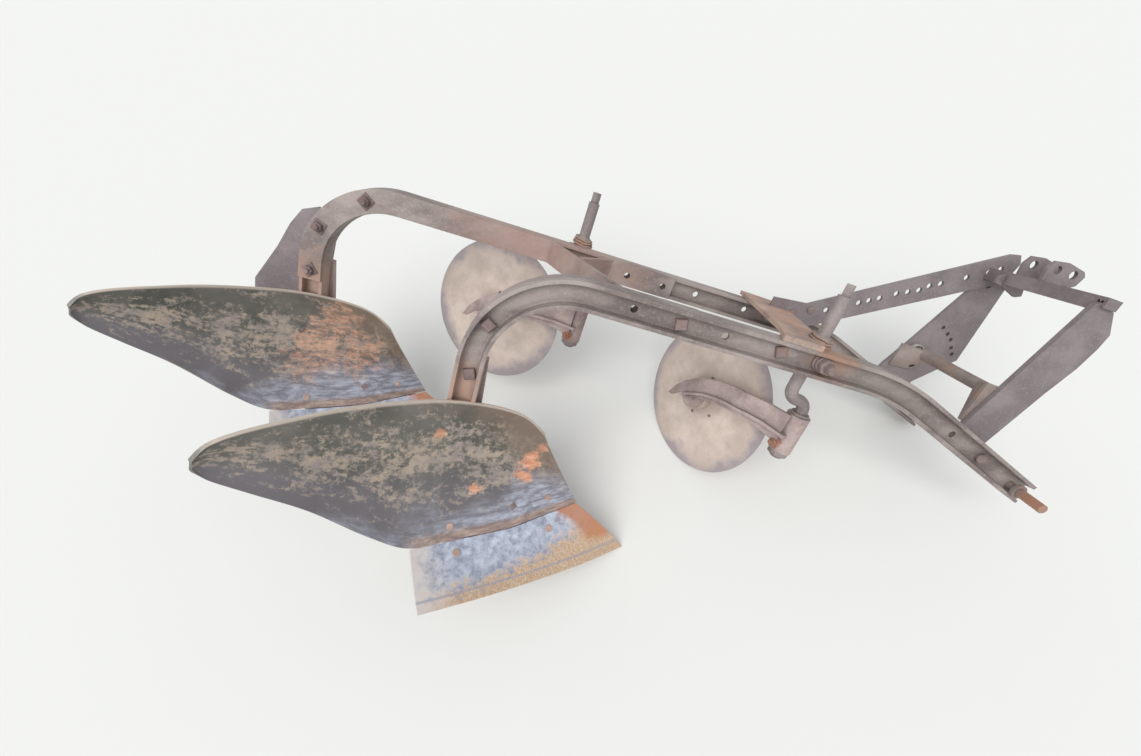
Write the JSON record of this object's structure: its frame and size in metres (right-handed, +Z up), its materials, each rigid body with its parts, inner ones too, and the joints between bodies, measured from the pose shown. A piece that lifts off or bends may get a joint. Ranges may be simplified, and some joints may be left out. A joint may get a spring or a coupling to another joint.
{
  "type": "moldboard plough",
  "caption": "Mounted moldboard plough with staggered right-hand bottoms on goose-neck beams, swinging disc coulters, plate mast, top-link ears and lower hitch pins.",
  "frame": {"origin": "centre of the bounding box in plan, on the ground", "axes": "+X forward along the beams, +Y left, +Z up; the plough rests tipped forward on both share points and the end of its left hitch pin"},
  "size_m": [2.2624, 1.0064, 0.7231],
  "materials": {
    "weathered_steel": "weathered dark brown-grey bare steel, matt",
    "rusty_steel": "orange-brown rust, matt",
    "casting": "weathered cast iron, matt",
    "blade_steel": "soil-polished plough steel with rust patches",
    "disc_steel": "disc steel dusted with dry soil"
  },
  "bodies": {
    "frame": {"beam_right": "weathered_steel", "beam_left": "weathered_steel", "cross_plate": "rusty_steel", "tie_bar": "weathered_steel", "spacer_bracket": "weathered_steel", "mast_right": "weathered_steel", "mast_left": "weathered_steel", "strap": "weathered_steel", "lower_cross_bar": "rusty_steel", "upper_cross_bar": "weathered_steel", "top_link_ears": "weathered_steel", "hitch_pin_right": "rusty_steel", "hitch_pin_left": "rusty_steel", "tail_bracket": "weathered_steel", "share_right": "blade_steel", "share_left": "blade_steel", "moldboard_right": "blade_steel", "moldboard_left": "blade_steel", "frog_right": "casting", "frog_left": "casting", "landside_right": "weathered_steel", "landside_left": "weathered_steel", "shank_right": "weathered_steel", "shank_left": "weathered_steel", "clamp_right": "casting", "clamp_left": "casting"},
    "coulter_fork_right": {"coulter_arm_right": "casting"},
    "coulter_fork_left": {"coulter_arm_left": "casting"},
    "coulter_wheel_right": {"coulter_disc_right": "disc_steel"},
    "coulter_wheel_left": {"coulter_disc_left": "disc_steel"}
  },
  "joints": [
    {"name": "swivel_right", "type": "hinge", "parent": "frame", "child": "coulter_fork_right", "pos_m": [0.45096, -0.0821, 0.31396], "axis": [0.3066, 0.4151, 0.8566], "range_deg": [0, 80]},
    {"name": "swivel_left", "type": "hinge", "parent": "frame", "child": "coulter_fork_left", "pos_m": [-0.07756, 0.27726, 0.32898], "axis": [0.3066, 0.4151, 0.8566], "range_deg": [0, 44]},
    {"name": "disc_turn_right", "type": "hinge", "parent": "coulter_fork_right", "child": "coulter_wheel_right", "pos_m": [0.30143, 0.11294, 0.19824], "axis": [0.8148, 0.3508, -0.4616], "continuous": true},
    {"name": "disc_turn_left", "type": "hinge", "parent": "coulter_fork_left", "child": "coulter_wheel_left", "pos_m": [-0.33119, 0.37013, 0.30004], "axis": [0.3468, 0.7893, -0.5067], "continuous": true}
  ]
}
